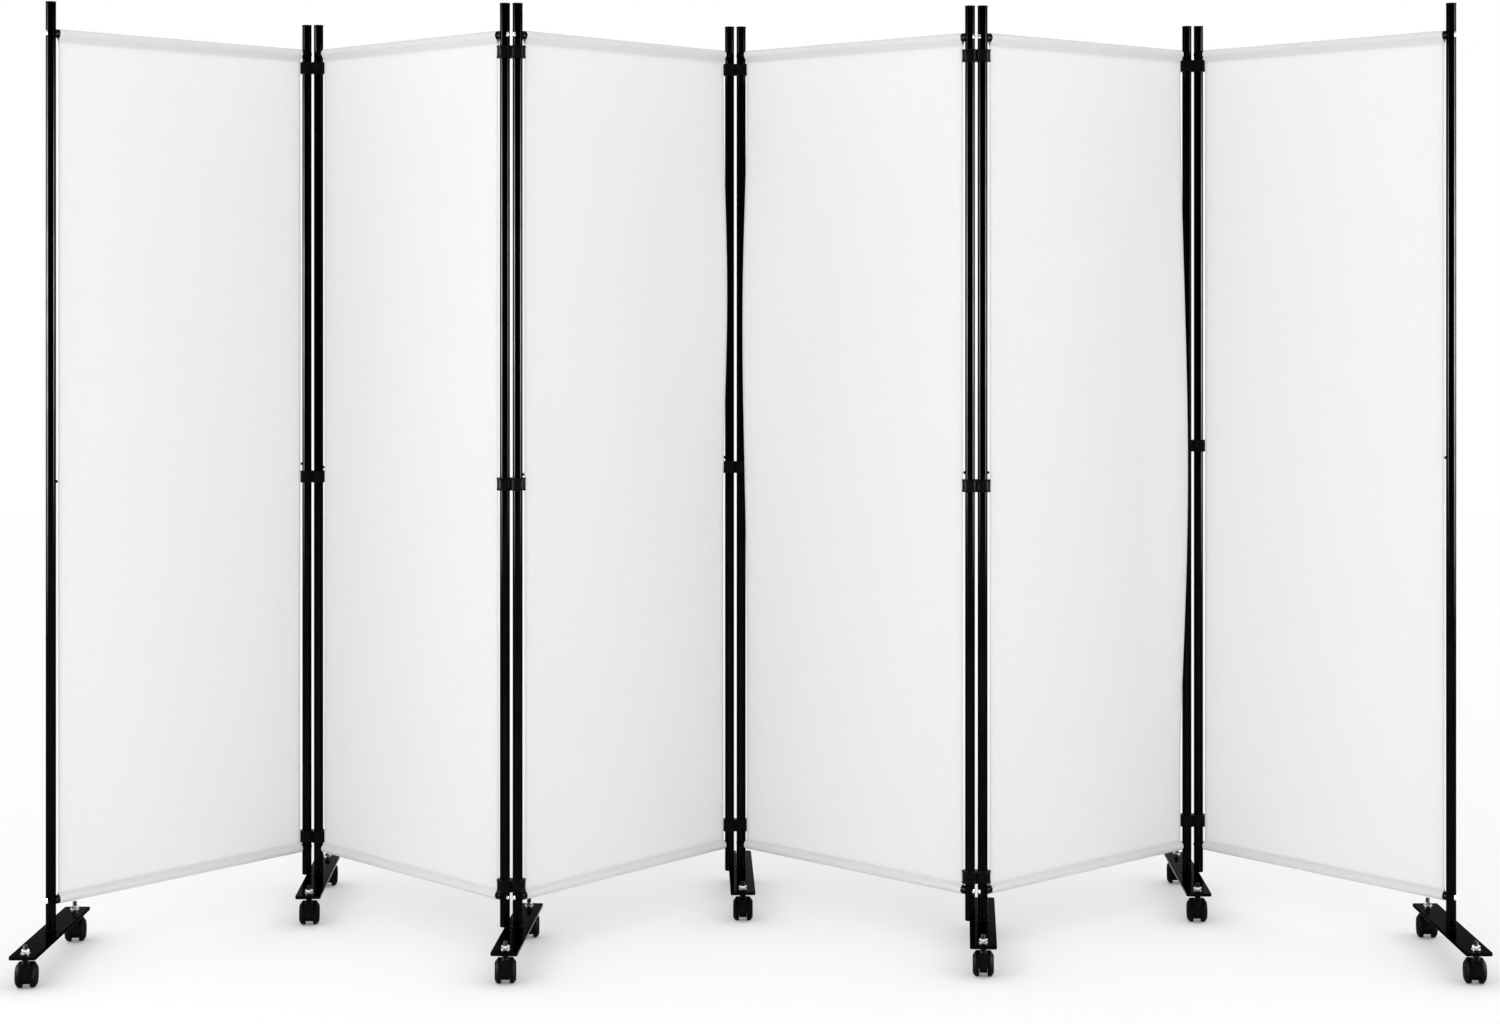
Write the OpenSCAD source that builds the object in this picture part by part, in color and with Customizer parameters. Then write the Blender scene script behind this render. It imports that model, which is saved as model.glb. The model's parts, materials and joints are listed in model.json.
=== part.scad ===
// Folding privacy screen on casters, in millimetres.
// Six cloth panels hang between steel poles. Neighbouring poles turn in double hinge clips,
// and one pole at each junction stands on a flat foot that rolls on two twin-wheel casters.
// X runs along the row, Y away from the viewer, Z up from the floor.

/* [Panels] */
// Distance between the axes of a panel's two poles
panel_pitch = 610; // [560:5:660]
// Length of a pole, both sections together
pole_len = 1743; // [1700:1:1800]
// Outer diameter of a pole
pole_d = 19; // [18:0.5:20]
// Wall of a pole
pole_wall = 1; // [0.8:0.1:1.4]
// Height of the joint between the two pole sections above the pole's foot, on most panels
seam_up = 836; // [800:1:860]
// Length of the coupler inside the joint
coupler_len = 90; // [60:1:140]
// Wall of the coupler
coupler_wall = 1.2; // [1:0.1:2]
// Diameter of the spring button that locks the joint
button_d = 5.5; // [4:0.5:7]
// How far the spring button stands out of the pole
button_rise = 3.5; // [1.5:0.1:4]
// Height of the spring button above the joint
button_up = 18; // [8:1:24]
// Angle in plan from the panel's line to the spring button
button_turn = 46; // [0:1:60]
// Diameter of the flat cap on a pole
cap_d = 20; // [19.5:0.1:22]
// Thickness of the flat cap
cap_t = 2.5; // [1.5:0.1:4]
// How far the cap's plug reaches into the pole
cap_plug = 14; // [8:1:20]
// Thickness of the glide under a pole that hangs beside a foot
glide_t = 1; // [0.6:0.1:1.5]

/* [Crossbars] */
// Outer diameter of a crossbar
bar_d = 15; // [13:0.5:16]
// Wall of a crossbar
bar_wall = 1.1; // [0.8:0.1:1.6]
// Height of the lower crossbar's axis above the pole's foot
bar_low = 55; // [52:1:60]
// Drop of the upper crossbar's axis below the pole's top
bar_drop = 57; // [40:1:60]
// Diameter of the saddle plug in each end of a crossbar
saddle_d = 16; // [15:0.5:17]
// Length of the saddle between the pole and the crossbar's end
saddle_len = 5; // [4:0.5:7]
// How far the plug reaches into the crossbar
plug_len = 22; // [18:1:40]
// Diameter of the bolt through the pole
bolt_d = 6; // [5:0.5:7]
// How far the bolt reaches past the pole's near side into the plug
bolt_grip = 14; // [8:1:17]
// Diameter of the bolt's round head
head_d = 9.5; // [8:0.5:11]
// Height of the bolt's round head
head_h = 2; // [1.4:0.1:2.2]
// Width of the hexagon socket in the head, across flats
socket_af = 4; // [3:0.5:5]
// Depth of the hexagon socket
socket_deep = 1.1; // [0.6:0.1:1.2]

/* [Cloth] */
// Gap between the cloth's side edge and the surface of the pole
cloth_gap = 9; // [8:0.5:16]
// Thickness of the cloth
cloth_t = 0.9; // [0.6:0.1:1.4]
// Depth of the hem pocket from its fold to its stitch line
hem_deep = 25; // [22:1:40]
// Play of a crossbar in its hem pocket
hem_play = 0.4; // [0.3:0.1:0.8]

/* [Hinge clips] */
// Distance between the two poles that a clip joins
pair_pitch = 24; // [23:0.5:26]
// Height of a clip
clip_h = 24; // [18:1:26]
// Wall of a clip round its pole
clip_wall = 5.5; // [4.5:0.1:6]
// Height of the lip at each rim of a clip
lip_h = 4; // [3:0.5:6]
// How far each lip stands out
lip_out = 1; // [0.5:0.1:1.2]

/* [Feet] */
// Length of a foot plate
plate_len = 380; // [370:1:420]
// Width of a foot plate
plate_w = 50; // [40:1:52]
// Thickness of a foot plate
plate_t = 6; // [4:0.5:8]
// Corner radius of a foot plate
plate_r = 7; // [4:0.5:12]
// Radius of the worn edge round a foot plate
plate_edge = 1; // [0.5:0.1:1.5]
// Distance between the two caster stems
stem_pitch = 332; // [300:1:336]
// Length of the spigot that carries the pole
spigot_len = 42; // [25:1:45]
// Diameter of the nylon washer under the pole
pad_d = 22.5; // [21:0.5:26]
// Thickness of the nylon washer
pad_t = 2; // [1.5:0.1:2.5]

/* [Casters] */
// Height of a foot plate's underside above the floor
ride_h = 59; // [57:0.5:64]
// Diameter of a wheel
wheel_d = 45; // [43:0.5:46]
// Width of a wheel
wheel_w = 11.8; // [10:0.1:13]
// Radius that rounds the outer side of a wheel
crown_r = 18.5; // [16:0.5:24]
// How far that round runs past the tread, which leaves a flat tread
crown_over = 4; // [3:0.1:5]
// How far it runs past the wheel's side, which leaves a flat rim
crown_out = 1.8; // [1:0.1:2.5]
// Diameter of the raised hub on a wheel
hub_d = 14; // [10:0.5:18]
// Depth of the dished ring round the hub
dish_deep = 1.2; // [0.6:0.1:2]
// Width of the rim outside the dished ring
rim_w = 7; // [5:0.5:9]
// Diameter of the axle
axle_d = 5; // [4:0.5:6]
// Width of the hood's body between the wheels
body_w = 14.6; // [13:0.2:17]
// Height of the hood's body above the floor
body_up = 6; // [4:0.5:9]
// Distance from the stem back to the axle
trail = 16; // [14:0.5:18]
// Radius of the boss round the stem
boss_r = 9; // [8:0.5:10]
// Width of the hood's fender over both wheels
fender_w = 32; // [28:0.5:36]
// Wall of the fender
fender_t = 1.6; // [1.2:0.1:2]
// Radius of the fender's shoulders
fender_r = 4; // [2:0.5:6]
// How far the fender comes down below the axle
fender_drop = 3; // [0:0.5:6]
// Diameter of the stem
stem_d = 8; // [7:0.5:9]
// Diameter of the collar between the hood and the plate
collar_d = 12; // [11:0.5:14]
// Length of the pin inside the hood
stem_pin = 16; // [12:0.5:17]
// How far the stem stands above its nut
stem_up = 8; // [4:0.5:12]
// Width of the nut across flats
nut_af = 13; // [12:0.5:14]
// Height of the nut
nut_h = 6.5; // [5:0.5:8]
// Diameter of the flat washer
washer_d = 17; // [15:0.5:20]
// Thickness of the flat washer
washer_t = 1.6; // [1:0.1:2.5]

/* [Clearances] */
// Radial play of a pole in its clip and on its spigot, and of an axle and a stem pin
run_play = 0.1; // [0.05:0.01:0.1]
// Gap between faces that turn over each other
run_gap = 0.25; // [0.2:0.05:0.5]
// Gap between pieces that are bolted or pressed together
seat = 0.05; // [0.03:0.01:0.1]
// Gap between the ends of the two pole sections
seam_gap = 0.4; // [0.2:0.1:1]
// Radial play of a bolt or stem in its drilled hole
hole_play = 0.25; // [0.15:0.05:0.4]
// Gap between a wheel and the hood
wheel_gap = 0.5; // [0.4:0.1:0.8]

/* [Rest pose] */
// Lean of panel 1 from the line of the row, in degrees
lean_1 = 49.3; // [20:0.1:80]
// Lean of panel 2
lean_2 = 45.3; // [20:0.1:80]
// Lean of panel 3
lean_3 = 50; // [20:0.1:80]
// Lean of panel 4
lean_4 = 43.4; // [20:0.1:80]
// Lean of panel 5
lean_5 = 41.9; // [20:0.1:80]
// Lean of panel 6
lean_6 = 48.5; // [20:0.1:80]

/* [Hidden] */
$fn = 64;
panels = 6;
feet = 7;

// Heading of each panel in plan: odd panels lean away from the viewer, even ones towards
heading = [lean_1, -lean_2, lean_3, -lean_4, lean_5, -lean_6];
// The panel and the side of it (0 left, 1 right) whose pole stands on each foot
foot_panel = [0, 1, 2, 3, 4, 4, 5];
foot_side = [0, 0, 0, 0, 0, 1, 1];
// How each foot, and each front and rear caster, happens to be turned, in degrees
foot_turn = [0, 3.5, -2, 2, -4, -1.5, 1];
front_turn = [8, 3, 7, -2, 0, -2, -7];
rear_turn = [9, 2, 6, -5, -1, -4, -9];
// Where each junction's upper clip was left below the poles' tops, its middle one from the height of
// the poles' joints, and its lower one above the poles' feet
upper_clip_drop = [86, 90, 87, 93, 80];
middle_clip_rise = [-19, 0, -2, -7, 43];
lower_clip_up = [77, 77, 93, 82, 105];
// How far each panel's pole joints differ from the usual height
seam_shift = [-11, -18, 0, 0, 0, 32];

plate_top = ride_h + plate_t;
pole_foot = plate_top + pad_t + run_gap;
bar_high = pole_len - bar_drop;
pole_bore = pole_d - 2 * pole_wall;
wheel_r = wheel_d / 2;
fender_in = wheel_r + wheel_gap;
hood_r = fender_in + fender_t;
hood_top = wheel_r + hood_r;
wheel_in = body_w / 2 + wheel_gap;
// The solid that cuts a bore or a slot runs this far past the face it opens
past = 1;

// Plan position of each panel's left pole, before the row is centred
function start(i) = i < 1 ? [0, 0] : far_end(i - 1) + [pair_pitch, 0];
function far_end(i) = start(i) + panel_pitch * [cos(heading[i]), sin(heading[i])];
near_y = min([for (i = [0:panels - 1]) min(start(i).y, far_end(i).y)]);
far_y = max([for (i = [0:panels - 1]) max(start(i).y, far_end(i).y)]);
row_centre = [far_end(panels - 1).x / 2, (near_y + far_y) / 2 + trail / 2];
function left_pole(i) = start(i) - row_centre;
function right_pole(i) = far_end(i) - row_centre;
function foot_at(k) = foot_side[k] == 0 ? left_pole(foot_panel[k]) : right_pole(foot_panel[k]);
function seam(i) = seam_up + seam_shift[i];
function middle_clip(j) = seam_up + middle_clip_rise[j - 1];
// True when the middle clip round a pole covers its spring button and keeps it pressed in
function pressed(i, side) =
    let (j = i + side)
        j > 0 && j < panels && abs(seam(i) + button_up - middle_clip(j)) < (clip_h + button_d) / 2 + past;

module on_panel(i) {
    translate([left_pole(i).x, left_pole(i).y, pole_foot])
        rotate([0, 0, heading[i]])
            children();
}

module on_foot(k) {
    translate([foot_at(k).x, foot_at(k).y, 0])
        rotate([0, 0, foot_turn[k]])
            children();
}

// A caster's own frame: its stem is the Z axis and its wheels trail towards +Y
module on_stem(k, end) {
    side = end == "front" ? -1 : 1;
    turn = end == "front" ? front_turn[k] : rear_turn[k];
    on_foot(k)
        translate([0, side * stem_pitch / 2, 0])
            rotate([0, 0, turn])
                children();
}

module rounded_rect(size, r) {
    square([size.x - 2 * r, size.y], center = true);
    square([size.x, size.y - 2 * r], center = true);
    for (x = [-1, 1], y = [-1, 1])
        translate([x * (size.x / 2 - r), y * (size.y / 2 - r)])
            circle(r);
}

module along_x() {
    rotate([0, 90, 0])
        children();
}

module tube(d, bore, h) {
    difference() {
        cylinder(h = h, d = d);
        translate([0, 0, -past])
            cylinder(h = h + 2 * past, d = bore);
    }
}

// Poles

module bolt_hole() {
    along_x()
        cylinder(h = pole_d + 2 * past, d = bolt_d + 2 * hole_play, center = true);
}

module lower_section(i) {
    difference() {
        tube(pole_d, pole_bore, seam(i));
        translate([0, 0, bar_low])
            bolt_hole();
    }
}

// Points a child that reaches up the Z axis out of a pole of panel i, the way its spring button faces
module on_button(i, side) {
    inward = side == 0 ? 1 : -1;
    translate([0, 0, seam(i) + button_up])
        rotate([0, 0, -sign(heading[i]) * button_turn])
            rotate([0, inward * 90, 0])
                children();
}

module upper_section(i, side) {
    foot = seam(i) + seam_gap;
    difference() {
        translate([0, 0, foot])
            tube(pole_d, pole_bore, pole_len - foot);
        translate([0, 0, bar_high])
            bolt_hole();
        on_button(i, side)
            cylinder(h = pole_d, d = button_d + 2 * hole_play);
    }
}

// Coupler inside the joint, with the spring button that snaps into the upper section
module coupler(i, side) {
    d = pole_bore - 2 * seat;
    dome_r = 0.6 * button_d;
    neck = pole_d / 2 + button_rise - dome_r;
    root = d / 2 - coupler_wall - button_rise;
    translate([0, 0, seam(i) - coupler_len / 2])
        tube(d, d - 2 * coupler_wall, coupler_len);
    on_button(i, side)
        translate([0, 0, pressed(i, side) ? -button_rise : 0]) {
            translate([0, 0, root])
                cylinder(h = neck - root, d = button_d);
            translate([0, 0, neck])
                intersection() {
                    cylinder(h = dome_r, d = button_d);
                    sphere(r = dome_r);
                }
        }
}

module pole_cap() {
    edge = cap_t / 2;
    translate([0, 0, pole_len + seat]) {
        rotate_extrude() {
            square([cap_d / 2 - edge, cap_t]);
            square([cap_d / 2, cap_t - edge]);
            translate([cap_d / 2 - edge, cap_t - edge])
                circle(edge);
        }
        translate([0, 0, -cap_plug])
            cylinder(h = cap_plug + past, d = pole_bore - 2 * seat);
    }
}

module glide() {
    translate([0, 0, -glide_t])
        cylinder(h = glide_t - seat, d = pole_d);
    translate([0, 0, -glide_t])
        cylinder(h = glide_t + cap_plug, d = pole_bore - 2 * seat);
}

// True when a foot stands under this pole, so its lower end stays open for the spigot
function on_spigot(i, side) =
    len([for (k = [0:feet - 1]) if (foot_panel[k] == i && foot_side[k] == side) k]) > 0;

module poles(i) {
    color("#17181a")
        on_panel(i)
            for (side = [0, 1])
                translate([side * panel_pitch, 0, 0]) {
                    lower_section(i);
                    upper_section(i, side);
                    coupler(i, side);
                    pole_cap();
                    if (!on_spigot(i, side))
                        glide();
                }
}

// Crossbars

// Plug whose saddle end fits round the pole, seen with the pole on the Z axis
module saddle_plug() {
    root = pole_d / 2;
    difference() {
        union() {
            along_x()
                cylinder(h = root + saddle_len, d = saddle_d);
            along_x()
                cylinder(h = root + saddle_len + plug_len, d = bar_d - 2 * bar_wall - 2 * seat);
        }
        cylinder(h = saddle_d + 2 * past, d = pole_d + 2 * seat, center = true);
        along_x()
            cylinder(h = root + bolt_grip + past, d = bolt_d + 2 * seat);
    }
}

module bolt() {
    tip = pole_d / 2 + bolt_grip;
    under_head = -pole_d / 2 - seat;
    dome_r = (head_d * head_d / 4 + head_h * head_h) / (2 * head_h);
    difference() {
        translate([under_head, 0, 0])
            rotate([0, -90, 0])
                intersection() {
                    cylinder(h = head_h, d = head_d);
                    translate([0, 0, head_h - dome_r])
                        sphere(r = dome_r);
                }
        translate([under_head - head_h - past, 0, 0])
            along_x()
                cylinder(h = past + socket_deep, d = socket_af / cos(30), $fn = 6);
    }
    translate([under_head - past / 2, 0, 0])
        along_x()
            cylinder(h = tip - under_head + past / 2, d = bolt_d);
}

module crossbar() {
    end = pole_d / 2 + saddle_len + seat;
    color("#17181a")
        translate([end, 0, 0])
            along_x()
                tube(bar_d, bar_d - 2 * bar_wall, panel_pitch - 2 * end);
    for (side = [0, 1])
        translate([side * panel_pitch, 0, 0])
            mirror([side, 0, 0]) {
                color("#202124")
                    saddle_plug();
                color("#d4d6d8")
                    bolt();
            }
}

module crossbars(i) {
    on_panel(i)
        for (z = [bar_low, bar_high])
            translate([0, 0, z])
                crossbar();
}

// Cloth

// A circle with two straight sides that close in a point, at depth below its centre
module teardrop(r, depth) {
    lean = acos(r / depth);
    circle(r);
    polygon([[0, -depth], [r * sin(lean), -r * cos(lean)], [-r * sin(lean), -r * cos(lean)]]);
}

// Hem pocket round a crossbar; the cloth leaves it downwards
module hem_pocket() {
    inner = bar_d / 2 + hem_play;
    outer = inner + cloth_t;
    depth = hem_deep - outer;
    difference() {
        teardrop(outer, depth);
        teardrop(inner, depth * inner / outer);
    }
}

module cloth(i) {
    inner = bar_d / 2 + hem_play;
    stitch = (hem_deep - inner - cloth_t) * inner / (inner + cloth_t);
    edge = pole_d / 2 + cloth_gap;
    color("#f4f4f5")
        on_panel(i)
            translate([edge, 0, 0])
                rotate([90, 0, 90])
                    linear_extrude(panel_pitch - 2 * edge) {
                        translate([0, bar_high])
                            hem_pocket();
                        translate([0, bar_low])
                            mirror([0, 1])
                                hem_pocket();
                        translate([-cloth_t / 2, bar_low + stitch])
                            square([cloth_t, bar_high - bar_low - 2 * stitch]);
                    }
}

// Hinge clips

module clip_ring() {
    r = pole_d / 2 + clip_wall;
    cylinder(h = clip_h - lip_h, r = r, center = true);
    for (end = [-1, 1])
        translate([0, 0, end * (clip_h - lip_h) / 2])
            rotate_extrude() {
                translate([0, -lip_h / 2])
                    square([r + lip_out - lip_h / 2, lip_h]);
                translate([r + lip_out - lip_h / 2, 0])
                    circle(d = lip_h);
            }
}

// Two rings in one moulding; the left pole is on the Z axis
module double_clip() {
    difference() {
        for (x = [0, pair_pitch])
            translate([x, 0, 0])
                clip_ring();
        for (x = [0, pair_pitch])
            translate([x, 0, 0])
                cylinder(h = clip_h + 2 * past, d = pole_d + 2 * run_play, center = true);
    }
}

module hinge_clips(j) {
    color("#1b1c1e")
        translate([right_pole(j - 1).x, right_pole(j - 1).y, pole_foot])
            for (z = [lower_clip_up[j - 1], middle_clip(j), pole_len - upper_clip_drop[j - 1]])
                translate([0, 0, z])
                    double_clip();
}

// Feet

module foot_plate() {
    difference() {
        translate([0, 0, plate_t / 2])
            intersection() {
                linear_extrude(plate_t, center = true)
                    rounded_rect([plate_w, plate_len], plate_r);
                rotate([90, 0, 0])
                    linear_extrude(plate_len, center = true)
                        rounded_rect([plate_w, plate_t], plate_edge);
                rotate([90, 0, 90])
                    linear_extrude(plate_w, center = true)
                        rounded_rect([plate_len, plate_t], plate_edge);
            }
        for (end = [-1, 1])
            translate([0, end * stem_pitch / 2, -past])
                cylinder(h = plate_t + 2 * past, d = stem_d + 2 * hole_play);
    }
}

// Spigot that stands on the plate and carries the pole
module spigot() {
    d = pole_bore - 2 * run_play;
    bevel = 1;
    translate([0, 0, plate_t + seat])
        cylinder(h = spigot_len - seat - bevel, d = d);
    translate([0, 0, plate_t + spigot_len - bevel])
        cylinder(h = bevel, d1 = d, d2 = d - 2 * bevel);
}

module pad() {
    inner = pole_bore + 2 * seat;
    tube(pad_d, inner, pad_t - seat);
}

// Caster stem: pin in the hood, collar under the plate and thread through plate, washer and nut
module stem() {
    bevel = 0.8;
    tip = plate_top + washer_t + nut_h + stem_up;
    translate([0, 0, hood_top - stem_pin])
        cylinder(h = tip - bevel - hood_top + stem_pin, d = stem_d);
    translate([0, 0, tip - bevel])
        cylinder(h = bevel, d1 = stem_d, d2 = stem_d - 2 * bevel);
    translate([0, 0, hood_top + run_gap])
        cylinder(h = ride_h - seat - hood_top - run_gap, d = collar_d);
}

module washer() {
    tube(washer_d, stem_d + 2 * seat, washer_t - seat);
}

module nut() {
    corner = nut_af / cos(30);
    bevel = (corner - nut_af) / 4;
    height = nut_h - seat;
    difference() {
        intersection() {
            cylinder(h = height, d = corner, $fn = 6);
            union() {
                cylinder(h = bevel, d1 = corner - 4 * bevel, d2 = corner);
                translate([0, 0, bevel])
                    cylinder(h = height - 2 * bevel, d = corner);
                translate([0, 0, height - bevel])
                    cylinder(h = bevel, d1 = corner, d2 = corner - 4 * bevel);
            }
        }
        translate([0, 0, -past])
            cylinder(h = nut_h + 2 * past, d = stem_d + 2 * seat);
    }
}

module foot(k) {
    on_foot(k) {
        color("#141517")
            translate([0, 0, ride_h]) {
                foot_plate();
                spigot();
            }
        color("#1b1c1e")
            translate([0, 0, plate_top + seat])
                pad();
        for (end = [-1, 1])
            translate([0, end * stem_pitch / 2, 0]) {
                color("#3a3b3e")
                    stem();
                color("#c9cbce")
                    translate([0, 0, plate_top + seat])
                        washer();
                color("#d4d6d8")
                    translate([0, 0, plate_top + washer_t + seat])
                        nut();
            }
    }
}

// Casters

// A drum on the X axis whose outer corners are rounded
module drum(r, w, corner) {
    along_x()
        rotate_extrude() {
            translate([0, -w / 2])
                square([r - corner, w]);
            translate([0, -w / 2 + corner])
                square([r, w - 2 * corner]);
            for (end = [-1, 1])
                translate([r - corner, end * (w / 2 - corner)])
                    circle(corner);
        }
}

// Side outline of the hood's body, with the stem on the vertical axis
module body_outline() {
    low_r = wheel_r - body_up;
    boss_foot = hood_top - stem_pin - run_gap - stem_d / 2;
    translate([trail, wheel_r])
        circle(low_r);
    intersection() {
        translate([trail, wheel_r])
            circle(hood_r - fender_t / 2);
        translate([trail - hood_r, wheel_r])
            square([2 * hood_r, hood_r]);
    }
    polygon([
        [-boss_r, hood_top],
        [-boss_r, boss_foot + stem_d / 2],
        [-stem_d / 2, boss_foot],
        [trail, wheel_r - low_r],
        [trail, hood_top]
    ]);
}

module hood_body() {
    rotate([90, 0, 90])
        linear_extrude(body_w, center = true)
            body_outline();
}

// Boss round the stem, cut away where the wheels turn
module boss() {
    foot = wheel_r;
    difference() {
        translate([0, 0, foot])
            cylinder(h = hood_top - foot, r = boss_r);
        for (side = [-1, 1])
            translate([side * (body_w + boss_r) / 2, trail, wheel_r])
                along_x()
                    cylinder(h = boss_r, r = fender_in, center = true);
    }
}

module fender() {
    difference() {
        translate([0, trail, wheel_r])
            drum(hood_r, fender_w, fender_r);
        translate([0, trail, wheel_r])
            along_x()
                cylinder(h = fender_w + 2 * past, r = fender_in, center = true);
        translate([-fender_w, trail - 2 * hood_r, -fender_drop])
            cube([2 * fender_w, 4 * hood_r, wheel_r]);
    }
}

module caster_hood(k, end) {
    color("#1b1c1e")
        on_stem(k, end)
            difference() {
                union() {
                    hood_body();
                    boss();
                    fender();
                }
                translate([0, 0, hood_top - stem_pin - run_gap])
                    cylinder(h = stem_pin + run_gap + past, d = stem_d + 2 * run_play);
                translate([0, trail, wheel_r])
                    along_x()
                        cylinder(h = fender_w + 2 * past, d = axle_d + 2 * run_play, center = true);
            }
}

// Half section of a wheel: radius along X, width along Y
module wheel_section() {
    side = wheel_in + wheel_w;
    bulge = [wheel_r + crown_over - crown_r, side + crown_out - crown_r];
    difference() {
        intersection() {
            translate([axle_d / 2 + seat, wheel_in])
                square([wheel_r - axle_d / 2 - seat, wheel_w]);
            translate(bulge)
                circle(crown_r);
        }
        translate([hub_d / 2, side - dish_deep])
            square([wheel_r - hub_d / 2 - rim_w, 2 * dish_deep]);
    }
}

module caster_wheels(k, end) {
    color("#161719")
        on_stem(k, end)
            translate([0, trail, wheel_r]) {
                for (side = [-1, 1])
                    rotate([0, side * 90, 0])
                        rotate_extrude()
                            wheel_section();
                along_x()
                    cylinder(h = 2 * (wheel_in + wheel_w) - 2 * dish_deep, d = axle_d, center = true);
            }
}

for (i = [0:panels - 1]) {
    poles(i);
    crossbars(i);
    cloth(i);
}
for (j = [1:panels - 1])
    hinge_clips(j);
for (k = [0:feet - 1]) {
    foot(k);
    for (end = ["front", "rear"]) {
        caster_hood(k, end);
        caster_wheels(k, end);
    }
}
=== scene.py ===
# Looks of the folding privacy screen: painted steel, moulded nylon, zinc hardware and sewn cloth.
# Everything is in metres. A panel's own frame has its left pole on the Z axis, X along the panel
# and Y towards its back.
import json
from math import acos, atan2, cos, pi, radians, sin

import bpy
import numpy as np
from mathutils import Matrix, Vector


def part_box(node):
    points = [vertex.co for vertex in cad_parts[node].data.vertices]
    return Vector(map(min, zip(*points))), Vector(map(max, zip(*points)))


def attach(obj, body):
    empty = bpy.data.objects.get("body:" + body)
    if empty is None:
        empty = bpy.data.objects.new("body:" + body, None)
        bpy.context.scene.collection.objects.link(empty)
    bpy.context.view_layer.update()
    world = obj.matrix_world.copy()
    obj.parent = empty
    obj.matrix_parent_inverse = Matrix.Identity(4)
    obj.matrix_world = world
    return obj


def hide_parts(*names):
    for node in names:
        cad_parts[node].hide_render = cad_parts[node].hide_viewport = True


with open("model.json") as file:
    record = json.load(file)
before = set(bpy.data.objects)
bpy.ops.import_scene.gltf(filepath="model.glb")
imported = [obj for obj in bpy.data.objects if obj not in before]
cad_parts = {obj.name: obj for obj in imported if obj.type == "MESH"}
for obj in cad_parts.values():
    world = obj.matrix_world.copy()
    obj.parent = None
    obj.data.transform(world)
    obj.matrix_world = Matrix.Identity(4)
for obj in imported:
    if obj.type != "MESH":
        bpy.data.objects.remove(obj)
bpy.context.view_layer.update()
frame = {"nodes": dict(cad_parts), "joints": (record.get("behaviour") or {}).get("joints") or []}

# Photograph's frame, and the camera fitted to it
FRAME_PX = (1500, 1024)
FOCAL_PX = 2604
AXIS_PX = (778.3, 275.9)
CAMERA_AT = (0.04775, -5.153, 1.29675)
SENSOR = 36

# Sizes that the solids have too
PANELS = 6
JUNCTIONS = PANELS - 1
FEET = PANELS + 1
POLE_R = 0.0095
BAR_R = 0.0075
SADDLE_R = 0.008

# Sizes that tell the solids of one node apart
FACET_SLACK = 0.0004
TUBES_LONGER_THAN = 0.3
PLATES_WIDER_THAN = 0.1
UPRIGHTS_TALLER_THAN = 0.03
SPIGOTS_WIDER_THAN = 0.014
THRUST_WASHERS_WIDER_THAN = 0.02
AXLES_LOWER_THAN = 0.01

# Cloth: the thickness of one layer, the pitch of layers sewn together, and the hems
SHEET_T = 0.0004
LAYER = 0.0005
WRAP_R = 0.00835
TOP_HEM = 0.0245
BOTTOM_HEM = 0.0195
FLAP = 0.003
SIDE_HEM = 0.005
FLAP_LAYERS = 3
# Gap between each cloth's left and right edge and the pole beside it: the cloths slide on their bars
SIDE_GAPS = (
    (0.007, 0.008), (0.012, 0.0115), (0.0095, 0.010),
    (0.007, 0.0085), (0.0105, 0.0115), (0.008, 0.006),
)

# Mesh of the cloth: steps in the flap, from flap to roll and round the roll, and points across it
FLAP_STEPS = 3
RISE_STEPS = 6
ROLL_STEPS = 20
HEM_POINTS = 4
FOLD_POINTS = 5
CLOTH_POINTS = 96

# Side edges that belly out towards the viewer: foot, crest and top of the belly, and its depth
BELLIES = {
    (3, "right"): (0.79, 1.25, 1.64, 0.010),
    (4, "left"): (0.35, 1.19, 1.64, 0.012),
    (5, "right"): (0.30, 0.90, 1.74, 0.020),
}
BELLY_REACH = 0.075

# Faint waves of the taut cloth: height, waves across the panel and waves up it
RIPPLES = ((0.0005, 1.3, 0.7), (0.00035, 2.7, -1.1), (0.0002, 5.3, 0.5))
RIPPLE_FADE = 0.12
RIPPLE_SEED = 40

# Puckers along the seams: their height, reach and pitch, and the uneven drift and swell of the pitch
PUCKER_HIGH = 0.00022
PUCKER_REACH = 0.011
PUCKER_PAST_SEAM = 0.0025
PUCKER_PITCH = 0.017
DRIFT_PITCH = 0.11
DRIFT = 1.5
SWELL_PITCH = 0.073
SWELL = 0.4

# Stitches
STITCH_PITCH = 0.004
STITCH_LONG = 0.003
STITCH_WIDE = 0.0006
STITCH_HIGH = 0.0004
SIDE_SEAM_INSET = 0.0015

# Levels of the studio: the dome's light by height and side, what mirrors see, and the floor
HORIZON = 1.29
ZENITH = 0.96
FRONT_SHARE = 1.12
BACK_SHARE = 0.84
DARK_ROOM = 0.08
BACKDROP = 0.9
CEILING = 1.0
FLOOR_LEVEL = 0.95
FLOOR_SEEN = 0.93
FLOOR_GLOW = 0.12
FLOOR_REACH = 9

# Range where noise mostly lies, and the factor that the wave texture puts on its place
NOISE_LOW = 0.3
NOISE_HIGH = 0.7
WAVE_FACTOR = 20

# Angle from which an edge of a made mesh is sharp
SHARP_DEGREES = 60


# Node trees

def node(tree, kind, inputs, **settings):
    """Adds a shader node; each input is a constant or another node's output."""
    made = tree.nodes.new("ShaderNode" + kind)
    for name, value in settings.items():
        setattr(made, name, value)
    for name, value in inputs.items():
        if isinstance(value, bpy.types.NodeSocket):
            tree.links.new(value, made.inputs[name])
        else:
            made.inputs[name].default_value = value
    return made


def surface(name, **constants):
    """A material, its tree and its Principled shader, with constants on the shader's own sockets."""
    material = bpy.data.materials.new(name)
    material.use_nodes = True
    tree = material.node_tree
    principled = tree.nodes["Principled BSDF"]
    for socket, value in constants.items():
        principled.inputs[socket.replace("_", " ")].default_value = value
    return material, tree, principled


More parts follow.
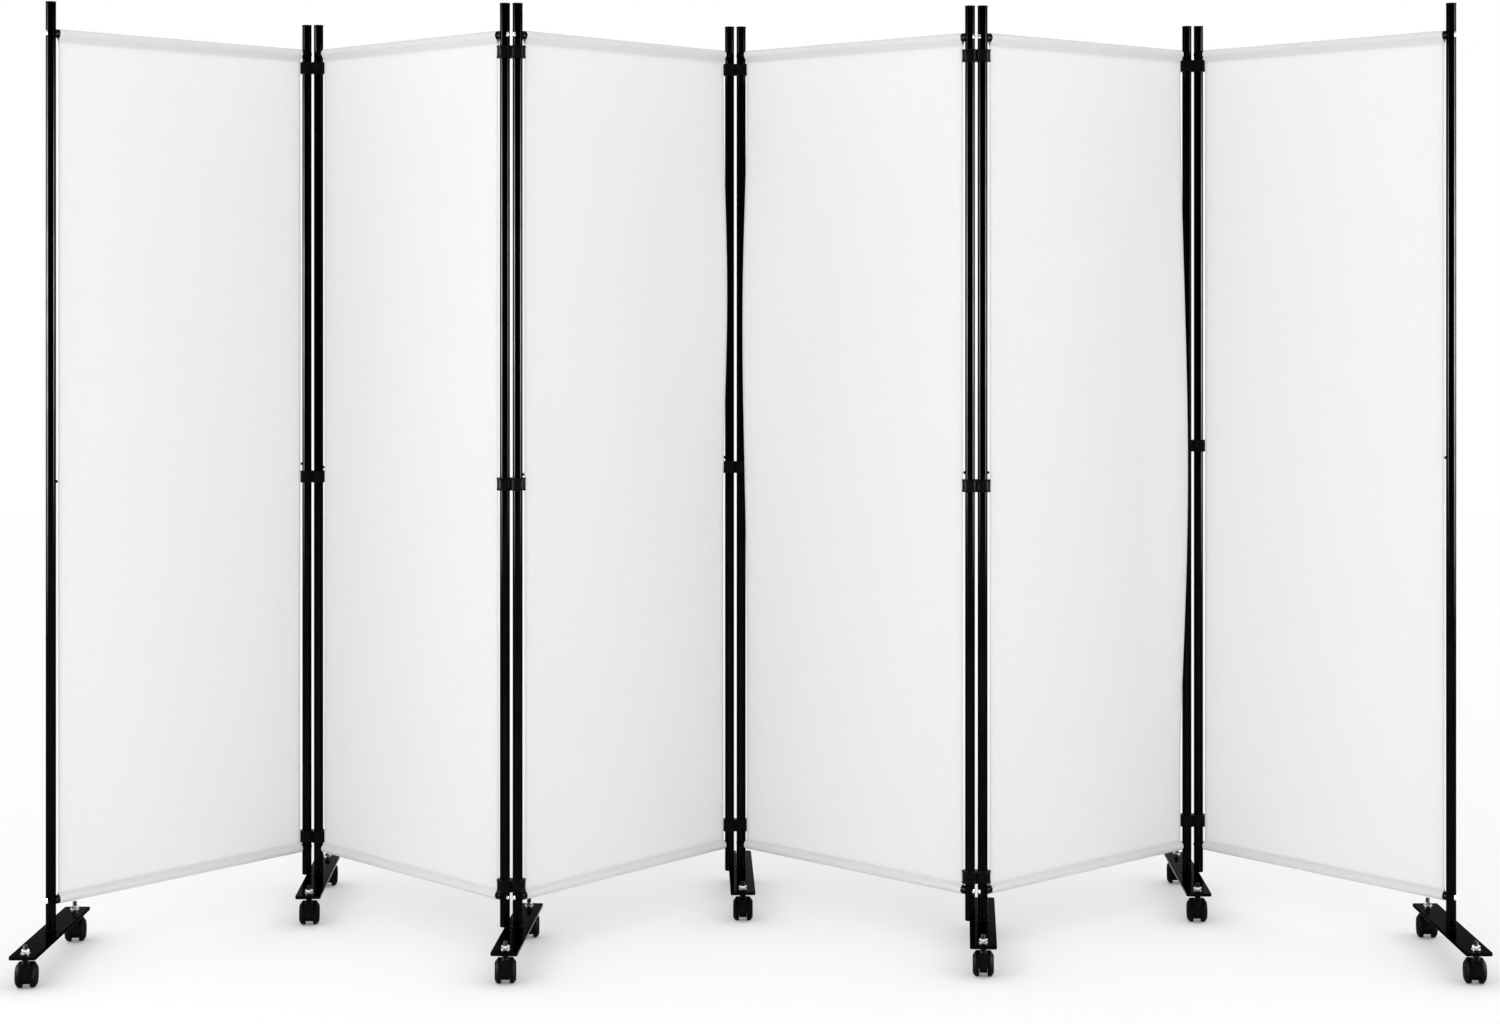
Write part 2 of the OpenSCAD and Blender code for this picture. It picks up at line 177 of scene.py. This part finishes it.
def bare_material(name):
    """A material without a shader, for the studio, and its tree."""
    material = bpy.data.materials.new(name)
    material.use_nodes = True
    tree = material.node_tree
    tree.nodes.remove(tree.nodes["Principled BSDF"])
    return material, tree


def grey(level):
    return (level, level, level, 1)


def noise(tree, scale, detail, stretch=(1, 1, 1)):
    """Noise over the piece, as a factor; scale is in cells per metre."""
    place = node(tree, "TexCoord", {}).outputs["Object"]
    place = node(tree, "Mapping", {"Vector": place, "Scale": stretch}).outputs["Vector"]
    return node(tree, "TexNoise", {"Vector": place, "Scale": scale, "Detail": detail}).outputs["Fac"]


def bands(tree, pitch, direction):
    """Even waves of that pitch along one axis of the piece."""
    place = node(tree, "TexCoord", {}).outputs["Object"]
    scale = 2 * pi / (WAVE_FACTOR * pitch)
    wave = node(tree, "TexWave", {"Vector": place, "Scale": scale}, bands_direction=direction)
    return wave.outputs["Fac"]


def calculate(tree, operation, first, second=0.0):
    return node(tree, "Math", {0: first, 1: second}, operation=operation).outputs["Value"]


def between(tree, factor, low, high, start=NOISE_LOW, end=NOISE_HIGH):
    """The factor's range from start to end, laid out from low to high."""
    return node(tree, "MapRange", {
        "Value": factor, "From Min": start, "From Max": end, "To Min": low, "To Max": high,
    }).outputs["Result"]


def shade(tree, factor, dark, light):
    ramp = node(tree, "ValToRGB", {"Fac": factor})
    ramp.color_ramp.elements[0].position = NOISE_LOW
    ramp.color_ramp.elements[1].position = NOISE_HIGH
    ramp.color_ramp.elements[0].color = dark
    ramp.color_ramp.elements[1].color = light
    return ramp.outputs["Color"]


def bump(tree, height, depth, strength=1.0, normal=None):
    inputs = {"Height": height, "Distance": depth, "Strength": strength}
    if normal:
        inputs["Normal"] = normal
    return node(tree, "Bump", inputs).outputs["Normal"]


def cloudy(tree, shader, dark, light, scale, detail):
    """Makes the shader's colour wander between two."""
    colour = shade(tree, noise(tree, scale, detail), dark, light)
    tree.links.new(colour, shader.inputs["Base Color"])


def uneven(tree, shader, low, high, scale, detail):
    """Makes the shader's roughness wander between two values."""
    gloss = between(tree, noise(tree, scale, detail), low, high)
    tree.links.new(gloss, shader.inputs["Roughness"])


def grained(tree, shader, height, depth):
    tree.links.new(bump(tree, height, depth), shader.inputs["Normal"])


# Materials

def gloss_paint(name, level, roughness, grazing):
    """Black stoved paint with a little orange peel; it mirrors little until the last degrees, and
    grazing is the share that it mirrors there."""
    material, tree, shader = surface(name, Metallic=1.0, Specular_Tint=grey(grazing))
    cloudy(tree, shader, dark=grey(level * 0.8), light=grey(level * 1.25), scale=18, detail=3)
    uneven(tree, shader, low=roughness - 0.02, high=roughness + 0.05, scale=60, detail=4)
    grained(tree, shader, noise(tree, scale=450, detail=1), depth=0.00001)
    return material


def moulded(name, level, roughness, specular):
    """Black moulded plastic with a fine spark-eroded grain and slightly polished wear."""
    material, tree, shader = surface(name, Specular_IOR_Level=specular)
    cloudy(tree, shader, dark=grey(level * 0.8), light=grey(level * 1.3), scale=40, detail=3)
    uneven(tree, shader, low=roughness - 0.05, high=roughness + 0.08, scale=90, detail=4)
    grained(tree, shader, noise(tree, scale=1600, detail=2), depth=0.00003)
    return material


def zinc():
    """Bright zinc plate, cloudy in places and brushed by the spanner."""
    material, tree, shader = surface("zinc_plate", Metallic=1.0)
    dull = (0.82, 0.83, 0.85, 1)
    bright = (0.93, 0.93, 0.94, 1)
    cloudy(tree, shader, dark=dull, light=bright, scale=300, detail=3)
    uneven(tree, shader, low=0.14, high=0.32, scale=700, detail=3)
    grained(tree, shader, noise(tree, scale=2500, detail=2), depth=0.00002)
    return material


def dark_thread():
    """Blackened steel whose thread is a fine wave along the stem."""
    material, tree, shader = surface("blackened_thread", Metallic=1.0)
    cloudy(tree, shader, dark=grey(0.008), light=grey(0.022), scale=200, detail=3)
    uneven(tree, shader, low=0.3, high=0.5, scale=400, detail=2)
    grained(tree, shader, bands(tree, pitch=0.00125, direction="Z"), depth=0.0004)
    return material


def cloth_material():
    """White woven polyester that lets much of the light through."""
    material, tree, shader = surface("woven_cloth", Sheen_Weight=0.08, Specular_IOR_Level=0.2)
    slub_long = 0.04
    slub_up = noise(tree, scale=220, detail=2, stretch=(1, 1, slub_long))
    slub_across = noise(tree, scale=220, detail=2, stretch=(slub_long, 1, 1))
    slub = calculate(tree, "MULTIPLY", slub_up, slub_across)
    slub = between(tree, slub, low=0, high=1, start=0.12, end=0.38)
    yarn_dark = (0.843, 0.843, 0.847, 1)
    yarn_light = (0.851, 0.851, 0.855, 1)
    colour = shade(tree, slub, yarn_dark, yarn_light)
    tree.links.new(colour, shader.inputs["Base Color"])
    tree.links.new(between(tree, slub, low=0.8, high=0.95, start=0, end=1), shader.inputs["Roughness"])
    yarn_pitch = 0.0009
    weave = calculate(tree, "MULTIPLY", bands(tree, yarn_pitch, "X"), bands(tree, yarn_pitch, "Z"))
    woven = bump(tree, weave, depth=0.0001, strength=0.5)
    woven = bump(tree, slub, depth=0.00003, strength=0.2, normal=woven)
    tree.links.new(woven, shader.inputs["Normal"])
    through = node(tree, "BsdfTranslucent", {"Color": colour, "Normal": woven})
    share_through = 0.38
    mixed = node(tree, "MixShader", {"Fac": share_through, 1: shader.outputs[0], 2: through.outputs[0]})
    tree.links.new(mixed.outputs[0], tree.nodes["Material Output"].inputs["Surface"])
    return material


def thread_material():
    material, tree, shader = surface("sewing_thread", Sheen_Weight=0.2)
    cloudy(tree, shader, dark=grey(0.7), light=grey(0.86), scale=900, detail=2)
    uneven(tree, shader, low=0.45, high=0.7, scale=1500, detail=2)
    grained(tree, shader, bands(tree, pitch=0.0005, direction="DIAGONAL"), depth=0.0001)
    return material


PAINT = gloss_paint("pole_paint", level=0.0035, roughness=0.09, grazing=0.4)
PLATE_PAINT = gloss_paint("plate_paint", level=0.0035, roughness=0.10, grazing=0.35)
TRIM = moulded("trim_plastic", level=0.003, roughness=0.34, specular=0.02)
CLIP_NYLON = moulded("clip_nylon", level=0.003, roughness=0.26, specular=0.015)
CASTER_NYLON = moulded("caster_nylon", level=0.003, roughness=0.42, specular=0.02)
WHEEL_NYLON = moulded("wheel_nylon", level=0.003, roughness=0.5, specular=0.02)
ZINC = zinc()
THREADED = dark_thread()
CLOTH = cloth_material()
SEWING = thread_material()


# The solids' finishes

def solid_of_each_face(mesh):
    """The number of the solid that each face belongs to, and each solid's lowest and highest corner."""
    co = np.zeros(len(mesh.vertices) * 3)
    mesh.vertices.foreach_get("co", co)
    weld = 1e-6
    welded = np.round(co.reshape(-1, 3) / weld).astype(np.int64)
    spots, spot_of = np.unique(welded, axis=0, return_inverse=True)
    corners = np.zeros(len(mesh.loops), np.int64)
    mesh.loops.foreach_get("vertex_index", corners)
    first = np.zeros(len(mesh.polygons), np.int64)
    mesh.polygons.foreach_get("loop_start", first)
    corner_spot = spot_of.reshape(-1)[corners]
    face_of_corner = np.repeat(np.arange(len(first)), np.diff(np.append(first, len(corners))))
    label = np.arange(len(spots))
    while True:
        lowest = np.full(len(first), len(spots))
        np.minimum.at(lowest, face_of_corner, label[corner_spot])
        joined = label.copy()
        np.minimum.at(joined, corner_spot, lowest[face_of_corner])
        joined = joined[joined]
        if (joined == label).all():
            break
        label = joined
    names, solid_of_spot = np.unique(label, return_inverse=True)
    low = np.full((len(names), 3), np.inf)
    high = np.full((len(names), 3), -np.inf)
    np.minimum.at(low, solid_of_spot, spots * weld)
    np.maximum.at(high, solid_of_spot, spots * weld)
    return solid_of_spot[corner_spot[first]], low, high


def dress(name, finishes, choose):
    """Gives each solid of a node the finish that choose picks from the solid's size along X, Y and Z."""
    mesh = frame["nodes"][name].data
    mesh.materials.clear()
    for finish in finishes:
        mesh.materials.append(finish)
    solid, low, high = solid_of_each_face(mesh)
    picked = [finishes.index(choose(size)) for size in high - low]
    mesh.polygons.foreach_set("material_index", np.array(picked, np.int32)[solid])
    mesh.update()


def dress_poles(size):
    return PAINT if size[2] > TUBES_LONGER_THAN else TRIM


def dress_crossbars(size):
    if size[2] > 2 * SADDLE_R - FACET_SLACK:
        return TRIM
    return PAINT if size[2] > 2 * BAR_R - FACET_SLACK else ZINC


def dress_foot(size):
    width = size[:2].max()
    if width > PLATES_WIDER_THAN:
        return PLATE_PAINT
    if size[2] > UPRIGHTS_TALLER_THAN:
        return PLATE_PAINT if width > SPIGOTS_WIDER_THAN else THREADED
    return TRIM if width > THRUST_WASHERS_WIDER_THAN else ZINC


def dress_wheels(size):
    return ZINC if size[2] < AXLES_LOWER_THAN else WHEEL_NYLON


for n in range(1, PANELS + 1):
    dress(f"panel_{n}_poles", [PAINT, TRIM], dress_poles)
    dress(f"panel_{n}_crossbars", [PAINT, TRIM, ZINC], dress_crossbars)
for n in range(1, JUNCTIONS + 1):
    dress(f"hinge_clips_{n}", [CLIP_NYLON], lambda size: CLIP_NYLON)
for n in range(1, FEET + 1):
    dress(f"foot_{n}", [PLATE_PAINT, TRIM, ZINC, THREADED], dress_foot)
    for end in ("front", "rear"):
        dress(f"caster_{n}_{end}_hood", [CASTER_NYLON], lambda size: CASTER_NYLON)
        dress(f"caster_{n}_{end}_wheels", [WHEEL_NYLON, ZINC], dress_wheels)


# Where the panels stand

def joint_place(name):
    return Vector(next(j for j in frame["joints"] if j["name"] == name)["pos_m"])


def poles_of(n):
    """The plan places of panel n's left and right pole."""
    left = joint_place("foot_1_turn" if n == 1 else f"panel_{n}_in_clips_{n - 1}")
    right = joint_place(f"foot_{FEET}_turn" if n == PANELS else f"panel_{n}_in_clips_{n}")
    return left.xy, right.xy


def panel_matrix(n):
    left, right = poles_of(n)
    line = right - left
    return Matrix.Translation((left.x, left.y, 0)) @ Matrix.Rotation(atan2(line.y, line.x), 4, "Z")


def mesh_object(name, points, faces, finish):
    mesh = bpy.data.meshes.new(name)
    mesh.from_pydata(points.tolist(), [], faces)
    mesh.materials.append(finish)
    mesh.polygons.foreach_set("use_smooth", [True] * len(mesh.polygons))
    mesh.set_sharp_from_angle(angle=radians(SHARP_DEGREES))
    mesh.update()
    made = bpy.data.objects.new(name, mesh)
    bpy.context.scene.collection.objects.link(made)
    return made


# Cloth: along it, points are (v, z), with v towards the panel's back. Across it, they are (u, o), with
# o the height above the main layer, towards the back

bars_low, bars_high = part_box("panel_1_crossbars")
BAR_LOW = bars_low.z + SADDLE_R
BAR_HIGH = bars_high.z - SADDLE_R
TOP_SEAM = BAR_HIGH + WRAP_R + SHEET_T / 2 - TOP_HEM
BOTTOM_SEAM = BAR_LOW - WRAP_R - SHEET_T / 2 + BOTTOM_HEM
FLAP_V = FLAP_LAYERS * LAYER


def steps(start, end, count):
    """Even steps from start towards end, without the end itself."""
    return [start + (end - start) * k / count for k in range(count)]


def graded(start, end, fine, growth, coarse):
    """Steps from start to end that are fine near both and coarse between."""
    half = abs(end - start) / 2
    reach = [0.0]
    step = fine
    while reach[-1] + step < half:
        reach.append(reach[-1] + step)
        step = min(step * growth, coarse)
    ahead = np.sign(end - start)
    return [start + ahead * r for r in reach] + [end - ahead * r for r in reversed(reach)]


def pocket(bar, seam):
    """Points (v, z) of the cloth round one bar, from the end of its back flap to the seam in front."""
    side = 1 if seam < bar else -1
    lean = acos(WRAP_R / abs(bar - seam))
    touch = (WRAP_R * sin(lean), bar - side * WRAP_R * cos(lean))
    points = [(FLAP_V, z) for z in steps(seam - side * FLAP, seam, FLAP_STEPS)]
    points += zip(steps(FLAP_V, touch[0], RISE_STEPS), steps(seam, touch[1], RISE_STEPS))
    turn = 2 * (pi - lean)
    for k in range(ROLL_STEPS + 1):
        angle = lean + turn * k / ROLL_STEPS
        points.append((WRAP_R * sin(angle), bar - side * WRAP_R * cos(angle)))
    fall = zip(steps(-touch[0], 0, RISE_STEPS + 1), steps(touch[1], seam, RISE_STEPS + 1))
    return points + list(fall)[1:]


def cloth_path():
    """Points (v, z) along the cloth, from the upper back flap over both pockets to the lower one."""
    top = pocket(BAR_HIGH, TOP_SEAM)
    bottom = pocket(BAR_LOW, BOTTOM_SEAM)
    sheet = graded(TOP_SEAM, BOTTOM_SEAM, fine=0.0015, growth=1.22, coarse=0.028)
    return np.array(top + [(0.0, z) for z in sheet] + bottom[::-1])


def ahead_of(points):
    """Unit direction along a line of points."""
    ahead = np.gradient(points, axis=0)
    return ahead / np.linalg.norm(ahead, axis=1)[:, None]


def cloth_section(width):
    """Points (u, o) across the cloth, with its side hems folded behind."""
    r = LAYER / 2
    fold = [(-r * sin(a), r + r * cos(a)) for a in np.linspace(0, pi, FOLD_POINTS)]
    hem = [(u, LAYER) for u in np.linspace(SIDE_HEM, r, HEM_POINTS)[:-1]]
    main = [(u, 0.0) for u in np.linspace(0, width, CLOTH_POINTS)[1:-1]]
    left = np.array(hem + fold)
    right = np.array([(width - u, o) for u, o in reversed(left.tolist())])
    return np.vstack([left, main, right])


def belly(n, u, z, width):
    """How far panel n's side edges belly out in front."""
    depth = np.zeros_like(z)
    for side, inwards in (("left", u), ("right", width - u)):
        if (n, side) in BELLIES:
            foot, crest, top, most = BELLIES[n, side]
            skew = np.log(0.5) / np.log((crest - foot) / (top - foot))
            rise = np.clip((z - foot) / (top - foot), 0, 1) ** skew
            depth += most * np.sin(pi * rise) ** 2 * np.exp(-((inwards / BELLY_REACH) ** 2))
    return depth


def ripple(n, u, z, width):
    """How far panel n's taut cloth stands off its plane."""
    dice = np.random.default_rng(RIPPLE_SEED + n)
    *phases, drift_phase, swell_phase = dice.uniform(0, 2 * pi, len(RIPPLES) + 2)
    rise = (z - BAR_LOW) / (BAR_HIGH - BAR_LOW)
    across = u / width
    wave = 0.0
    for (high, waves_across, waves_up), phase in zip(RIPPLES, phases):
        wave = wave + high * np.sin(2 * pi * (across * waves_across + rise * waves_up) + phase)
    from_seam = np.minimum(z - BOTTOM_SEAM, TOP_SEAM - z)
    fade = np.clip(from_seam / RIPPLE_FADE, 0, 1)
    wave *= fade * fade * (3 - 2 * fade)
    drift = DRIFT * np.sin(2 * pi * u / DRIFT_PITCH + drift_phase)
    gather = np.sin(2 * pi * u / PUCKER_PITCH + drift)
    gather *= 1 - SWELL + SWELL * np.sin(2 * pi * u / SWELL_PITCH + swell_phase)
    beyond = np.clip(1 + from_seam / PUCKER_PAST_SEAM, 0, 1)
    pucker = PUCKER_HIGH * gather * beyond * np.exp(-np.abs(from_seam) / PUCKER_REACH)
    return wave + pucker - belly(n, u, z, width)


def cloth_faces(rows, around, layer):
    """Faces of a tube of rows, each of so many points around, with its two ends closed by strips of
    so many points a layer."""
    faces = []
    for k in range(rows - 1):
        for j in range(around):
            a = k * around + j
            b = k * around + (j + 1) % around
            faces.append((a, b, b + around, a + around))
    for k, turn in ((0, 1), (rows - 1, -1)):
        for j in range(layer - 1):
            corners = [k * around + c for c in (j, around - 1 - j, around - 2 - j, j + 1)]
            faces.append(tuple(corners[::turn]))
    return faces


def make_cloth(n):
    """Panel n's sheet, the width and length that it is cut to, and its width once hemmed."""
    left, right = poles_of(n)
    inset, far_inset = (POLE_R + gap for gap in SIDE_GAPS[n - 1])
    width = (right - left).length - inset - far_inset
    path = cloth_path()
    along = ahead_of(path)
    inward = np.column_stack([-along[:, 1], along[:, 0]])
    section = cloth_section(width)
    across = ahead_of(section)
    rise = np.column_stack([-across[:, 1], across[:, 0]])
    loop = np.vstack([section + rise * SHEET_T / 2, (section - rise * SHEET_T / 2)[::-1]])
    u = np.broadcast_to(loop[:, 0], (len(path), len(loop)))
    v = path[:, :1] + inward[:, :1] * loop[:, 1]
    z = path[:, 1:] + inward[:, 1:] * loop[:, 1]
    v = v + ripple(n, u, z, width)
    points = np.stack([u + inset, v, z], axis=-1).reshape(-1, 3)
    faces = cloth_faces(len(path), len(loop), len(section))
    made = mesh_object(f"panel_{n}_sheet", points, faces, CLOTH)
    made.matrix_world = panel_matrix(n)
    flat = (width + 2 * SIDE_HEM, float(np.linalg.norm(np.diff(path, axis=0), axis=1).sum()))
    return made, flat, width


def seam_lines(width):
    """Each stitch's middle (u, v, z), its direction and the direction across it, along both pockets and
    both side hems, in front and behind."""
    seams = []
    front = -SHEET_T / 2
    for z in (TOP_SEAM, BOTTOM_SEAM):
        rows = np.arange(SIDE_HEM / 2, width - SIDE_HEM / 2, STITCH_PITCH)
        for v in (front, FLAP_V + SHEET_T / 2):
            seams += [((u, v, z), (1, 0, 0), (0, 0, 1)) for u in rows]
    for u in (SIDE_HEM - SIDE_SEAM_INSET, width - SIDE_HEM + SIDE_SEAM_INSET):
        rows = np.arange(BOTTOM_SEAM + STITCH_PITCH, TOP_SEAM, STITCH_PITCH)
        for v in (front, LAYER + SHEET_T / 2):
            seams += [((u, v, z), (0, 0, 1), (1, 0, 0)) for z in rows]
    return (np.array(x, float) for x in zip(*seams))


def make_stitches(n, width):
    """Panel n's lock stitches, each a spindle of two tips and a ring of four points."""
    centre, along, across = seam_lines(width)
    centre[:, 1] += ripple(n, centre[:, 0], centre[:, 2], width)
    centre[:, 0] += POLE_R + SIDE_GAPS[n - 1][0]
    up = np.broadcast_to((0, STITCH_HIGH / 2, 0), centre.shape)
    half_long = along * STITCH_LONG / 2
    half_wide = across * STITCH_WIDE / 2
    tips = [centre - half_long, centre + half_long]
    ring = [centre + half_wide, centre + up, centre - half_wide, centre - up]
    points = np.stack(tips + ring, axis=1).reshape(-1, 3)
    faces = []
    for k in range(0, len(points), len(tips + ring)):
        for j in range(len(ring)):
            a = k + len(tips) + j
            b = k + len(tips) + (j + 1) % len(ring)
            faces += [(k, a, b), (k + 1, b, a)]
    made = mesh_object(f"panel_{n}_stitches", points, faces, SEWING)
    made.matrix_world = panel_matrix(n)
    return made


for n in range(1, PANELS + 1):
    cloth, flat, width = make_cloth(n)
    stitches = make_stitches(n, width)
    for piece in (cloth, stitches):
        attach(piece, f"panel_{n}")
    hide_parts(f"panel_{n}_cloth")


# Camera

camera = bpy.data.objects.new("camera", bpy.data.cameras.new("camera"))
bpy.context.scene.collection.objects.link(camera)
camera.data.sensor_width = SENSOR
camera.data.lens = FOCAL_PX * SENSOR / FRAME_PX[0]
camera.data.shift_x = (FRAME_PX[0] / 2 - AXIS_PX[0]) / FRAME_PX[0]
camera.data.shift_y = (AXIS_PX[1] - FRAME_PX[1] / 2) / FRAME_PX[0]
camera.location = CAMERA_AT
camera.rotation_euler = (radians(90), 0, 0)
bpy.context.scene.camera = camera


# Studio

def make_world():
    """White to the camera, soft light from all round, and a dark room with a white backdrop for mirrors."""
    world = bpy.data.worlds.new("studio")
    bpy.context.scene.world = world
    world.use_nodes = True
    tree = world.node_tree
    rays = node(tree, "LightPath", {}).outputs
    way = node(tree, "SeparateXYZ", {"Vector": node(tree, "TexCoord", {}).outputs["Generated"]}).outputs
    behind = between(tree, way["Y"], DARK_ROOM, BACKDROP, start=0.1, end=0.6)
    above = between(tree, way["Z"], DARK_ROOM, CEILING, start=0.45, end=0.8)
    mirrored = calculate(tree, "MAXIMUM", behind, above)
    height = between(tree, way["Z"], HORIZON, ZENITH, start=0.2, end=0.95)
    share = between(tree, way["Y"], FRONT_SHARE, BACK_SHARE, start=-0.6, end=0.6)
    level = calculate(tree, "MULTIPLY", height, share)
    soft = node(tree, "Background", {"Color": grey(1), "Strength": level})
    gloss = node(tree, "Background", {"Color": grey(1), "Strength": mirrored})
    seen = node(tree, "Background", {"Color": grey(1), "Strength": 1.0})
    lit = node(tree, "MixShader", {"Fac": rays["Is Glossy Ray"], 1: soft.outputs[0], 2: gloss.outputs[0]})
    shown = node(tree, "MixShader", {"Fac": rays["Is Camera Ray"], 1: lit.outputs[0], 2: seen.outputs[0]})
    tree.links.new(shown.outputs[0], tree.nodes["World Output"].inputs["Surface"])


def make_floor():
    """A plain pale floor that glows a little to the camera."""
    far = FLOOR_REACH
    points = np.array([(-far, -far, 0), (far, -far, 0), (far, far, 0), (-far, far, 0)], float)
    material, tree = bare_material("pale_floor")
    rays = node(tree, "LightPath", {}).outputs
    plain = node(tree, "BsdfDiffuse", {"Color": grey(FLOOR_LEVEL)})
    seen = node(tree, "BsdfDiffuse", {"Color": grey(FLOOR_SEEN)})
    glow = node(tree, "Emission", {"Color": grey(1), "Strength": 1.0})
    seen = node(tree, "MixShader", {"Fac": FLOOR_GLOW, 1: seen.outputs[0], 2: glow.outputs[0]})
    shown = node(tree, "MixShader", {"Fac": rays["Is Camera Ray"], 1: plain.outputs[0], 2: seen.outputs[0]})
    tree.links.new(shown.outputs[0], tree.nodes["Material Output"].inputs["Surface"])
    mesh_object("floor", points, [(0, 1, 2, 3)], material)


def softbox(name, x, y_range, z_range, radiance):
    """A tall light that only shows in mirrors, brightest round its middle height."""
    front, back = y_range
    foot, top = z_range
    corners = [(x, front, foot), (x, back, foot), (x, back, top), (x, front, top)]
    material, tree = bare_material(name)
    place = node(tree, "SeparateXYZ", {"Vector": node(tree, "TexCoord", {}).outputs["Object"]}).outputs
    middle = (foot + top) / 2
    off = calculate(tree, "SUBTRACT", place["Z"], middle)
    off = calculate(tree, "ABSOLUTE", off)
    level = between(tree, off, radiance, 0, start=0.1, end=top - middle)
    glow = node(tree, "Emission", {"Color": grey(1), "Strength": level})
    tree.links.new(glow.outputs[0], tree.nodes["Material Output"].inputs["Surface"])
    made = mesh_object(name, np.array(corners, float), [(0, 1, 2, 3)], material)
    made.visible_camera = False
    made.visible_diffuse = False
    made.visible_transmission = False
    made.visible_shadow = False


def area_light(name, place, aim, size, power):
    """A soft light that neither the camera nor a mirror sees."""
    data = bpy.data.lights.new(name, "AREA")
    data.shape = "RECTANGLE"
    data.size, data.size_y = size
    data.energy = power
    made = bpy.data.objects.new(name, data)
    bpy.context.scene.collection.objects.link(made)
    made.location = place
    made.rotation_euler = (Vector(aim) - Vector(place)).to_track_quat("-Z", "Y").to_euler()
    made.visible_camera = False
    made.visible_glossy = False


make_world()
make_floor()
softbox("left_softbox", x=-3, y_range=(-1.5, -0.2), z_range=(0.4, 2.1), radiance=160)
softbox("right_softbox", x=3, y_range=(-1.4, 0.0), z_range=(0.4, 2.1), radiance=140)
area_light("key_light", place=(-2.6, -3.0, 3.2), aim=(0, 0, 0.5), size=(1.6, 1.6), power=14)
area_light("low_light", place=(0, -3.4, 0.4), aim=(0, 0, 0.2), size=(3.2, 0.6), power=18)

bpy.context.scene.view_settings.view_transform = "Standard"
